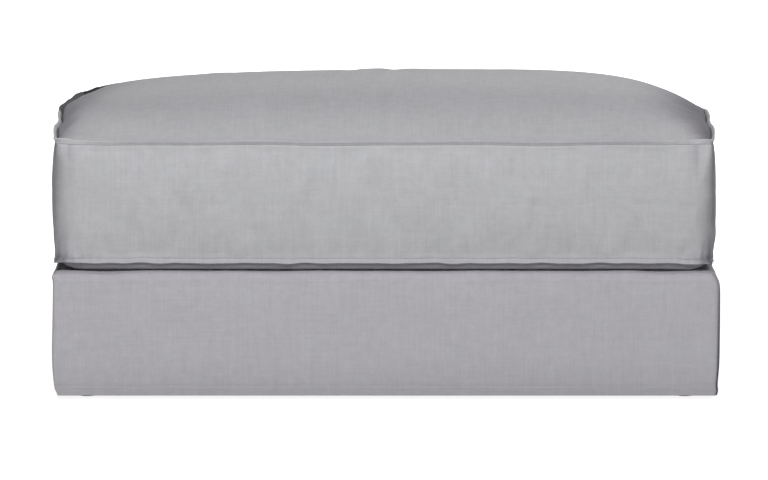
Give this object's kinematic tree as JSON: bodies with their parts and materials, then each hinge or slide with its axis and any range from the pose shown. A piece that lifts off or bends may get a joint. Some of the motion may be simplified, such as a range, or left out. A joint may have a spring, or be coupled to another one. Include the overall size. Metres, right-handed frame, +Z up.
{
  "type": "footstool",
  "caption": "Low rectangular footstool: an upholstered box in a fitted cloth cover to the floor, with one loose, crowned, boxed cushion on top.",
  "frame": {"origin": "on the floor under the middle of the base", "axes": "+X to the right along the long side, -Y out of the front, +Z up"},
  "size_m": [1.036, 0.661, 0.466],
  "materials": {
    "cover_cloth": "plain woven linen look, pale grey",
    "cushion_cloth": "plain woven linen look, pale grey",
    "lining_cloth": "plain cotton lining",
    "dust_cloth": "black non-woven cloth",
    "felt": "pressed grey felt",
    "foam": "open-cell foam, cream",
    "fibre": "white polyester fibre",
    "zip_tape": "woven tape",
    "frame_wood": "sawn softwood, unfinished",
    "foot_wood": "planed softwood, unfinished",
    "dowel_wood": "fluted hardwood dowel",
    "spring_steel": "oiled spring wire",
    "hardware_steel": "zinc-plated steel",
    "zip_metal": "nickel-plated die casting",
    "zip_plastic": "moulded nylon",
    "glide_plastic": "moulded plastic"
  },
  "bodies": {
    "base": {"glides": "glide_plastic", "foot_front_left": "foot_wood", "foot_front_right": "foot_wood", "foot_back_left": "foot_wood", "foot_back_right": "foot_wood", "foot_studs": "hardware_steel", "foot_washers": "hardware_steel", "foot_nuts": "hardware_steel", "front_rail": "frame_wood", "back_rail": "frame_wood", "left_rail": "frame_wood", "right_rail": "frame_wood", "middle_brace": "frame_wood", "corner_block_front_left": "frame_wood", "corner_block_front_right": "frame_wood", "corner_block_back_left": "frame_wood", "corner_block_back_right": "frame_wood", "rail_dowels": "dowel_wood", "block_screws": "hardware_steel", "brace_screws": "hardware_steel", "dust_cover": "dust_cloth", "dust_cover_staples": "hardware_steel", "spring_1": "spring_steel", "spring_2": "spring_steel", "spring_3": "spring_steel", "spring_4": "spring_steel", "spring_5": "spring_steel", "spring_6": "spring_steel", "front_spring_clips": "hardware_steel", "back_spring_clips": "hardware_steel", "clip_nails": "hardware_steel", "stay_wires": "hardware_steel", "stay_clips": "hardware_steel", "felt_pad": "felt", "deck_foam": "foam", "front_wadding": "fibre", "back_wadding": "fibre", "left_wadding": "fibre", "right_wadding": "fibre", "cover_front": "cover_cloth", "cover_back": "cover_cloth", "cover_left": "cover_cloth", "cover_right": "cover_cloth", "deck_cloth": "lining_cloth"},
    "cushion": {"cushion_core": "foam", "fibre_top": "fibre", "fibre_bottom": "fibre", "cushion_top": "cushion_cloth", "cushion_bottom": "cushion_cloth", "cushion_boxing": "cushion_cloth", "top_flange": "cushion_cloth", "bottom_flange": "cushion_cloth", "zip_strip_upper": "cushion_cloth", "zip_strip_lower": "cushion_cloth", "zip_tapes": "zip_tape", "zip_teeth": "zip_plastic", "zip_stops": "zip_metal"},
    "zip_slider": {"zip_slider": "zip_metal"},
    "zip_pull": {"zip_pull": "zip_metal"}
  },
  "joints": [
    {"name": "cushion_lift", "type": "slide", "parent": "base", "child": "cushion", "axis": [0, 0, 1], "range_m": [0, 0.3]},
    {"name": "zip_run", "type": "slide", "parent": "cushion", "child": "zip_slider", "axis": [-1, 0, 0], "range_m": [0, 0.85]},
    {"name": "pull_swing", "type": "hinge", "parent": "zip_slider", "child": "zip_pull", "pos_m": [0.426, 0.32185, 0.3065], "axis": [0, 0, -1], "range_deg": [0, 180]}
  ]
}
